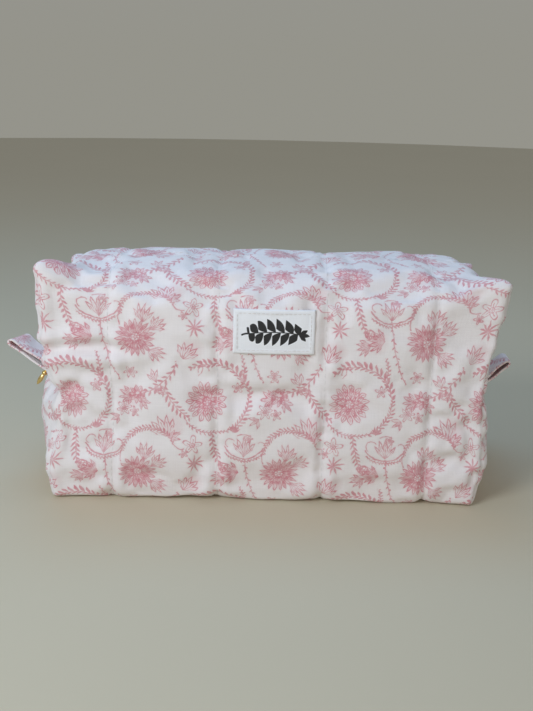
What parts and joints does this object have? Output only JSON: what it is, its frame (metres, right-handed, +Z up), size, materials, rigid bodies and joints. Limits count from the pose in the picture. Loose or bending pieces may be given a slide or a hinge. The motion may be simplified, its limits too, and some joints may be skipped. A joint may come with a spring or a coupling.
{
  "type": "makeup bag",
  "caption": "Boxy quilted cotton makeup bag with a pink floral print, a zip over the top, a fabric tab at each end and a gold puller.",
  "frame": {"origin": "under the middle of the bag, on the surface that it stands on", "axes": "+X along the length, +Y from the labelled front to the back, +Z up"},
  "size_m": [0.3, 0.121, 0.1342],
  "materials": {
    "printed_cotton": "plain weave cotton, off-white with a pink floral print",
    "wadding": "lofted polyester wadding",
    "lining_cotton": "plain weave cotton, off-white",
    "seam_binding": "folded cotton tape",
    "label_cloth": "satin woven label cloth, white with a black ornament",
    "thread": "polyester sewing thread",
    "zipper_tape": "herringbone polyester tape",
    "zipper_coil": "nylon coil",
    "gold_metal": "polished, gold coloured"
  },
  "bodies": {
    "bag_body": {"outer_front_panel": "printed_cotton", "wadding_front_panel": "wadding", "lining_front_panel": "lining_cotton", "outer_back_panel": "printed_cotton", "wadding_back_panel": "wadding", "lining_back_panel": "lining_cotton", "bottom_seam_binding": "seam_binding", "end_seam_binding_left": "seam_binding", "end_seam_binding_right": "seam_binding", "corner_seam_binding_front_left": "seam_binding", "corner_seam_binding_front_right": "seam_binding", "corner_seam_binding_back_left": "seam_binding", "corner_seam_binding_back_right": "seam_binding", "label": "label_cloth", "label_stitching": "thread", "quilting_front": "thread", "quilting_back": "thread", "zipper_tape_front_left": "zipper_tape", "zipper_tape_front_right": "zipper_tape", "zipper_tape_back_left": "zipper_tape", "zipper_tape_back_right": "zipper_tape", "zipper_coil_front_left": "zipper_coil", "zipper_coil_front_right": "zipper_coil", "zipper_coil_back_left": "zipper_coil", "zipper_coil_back_right": "zipper_coil", "zipper_top_stops": "gold_metal", "zipper_bottom_stop": "gold_metal"},
    "front_flap": {"outer_front_flap": "printed_cotton", "wadding_front_flap": "wadding", "lining_front_flap": "lining_cotton", "zipper_tape_front": "zipper_tape", "zipper_coil_front": "zipper_coil", "quilting_front_flap": "thread", "topstitch_front": "thread"},
    "back_flap": {"outer_back_flap": "printed_cotton", "wadding_back_flap": "wadding", "lining_back_flap": "lining_cotton", "zipper_tape_back": "zipper_tape", "zipper_coil_back": "zipper_coil", "quilting_back_flap": "thread", "topstitch_back": "thread"},
    "slider": {"slider": "gold_metal"},
    "puller": {"puller": "gold_metal"},
    "tab_left": {"tab_left": "printed_cotton"},
    "tab_right": {"tab_right": "printed_cotton"}
  },
  "joints": [
    {"name": "front_flap_opening", "type": "hinge", "parent": "bag_body", "child": "front_flap", "pos_m": [0, -0.044, 0.13185], "axis": [1, 0, 0], "range_deg": [0, 100]},
    {"name": "back_flap_opening", "type": "hinge", "parent": "bag_body", "child": "back_flap", "pos_m": [0, 0.044, 0.13185], "axis": [-1, 0, 0], "range_deg": [0, 100]},
    {"name": "slider_travel", "type": "slide", "parent": "bag_body", "child": "slider", "axis": [0, 0, 1], "range_m": [0, 0.034]},
    {"name": "puller_swing", "type": "hinge", "parent": "slider", "child": "puller", "pos_m": [-0.1272, 0, 0.074], "axis": [0, 1, 0], "range_deg": [0, 130]},
    {"name": "left_tab_fold", "type": "hinge", "parent": "bag_body", "child": "tab_left", "pos_m": [-0.1271, -0.015, 0.065], "axis": [0, 1, 0], "range_deg": [-85, 40], "stiffness_Nm_per_rad": 0.006},
    {"name": "right_tab_fold", "type": "hinge", "parent": "bag_body", "child": "tab_right", "pos_m": [0.1271, -0.015, 0.065], "axis": [0, -1, 0], "range_deg": [-98, 55], "stiffness_Nm_per_rad": 0.006}
  ]
}
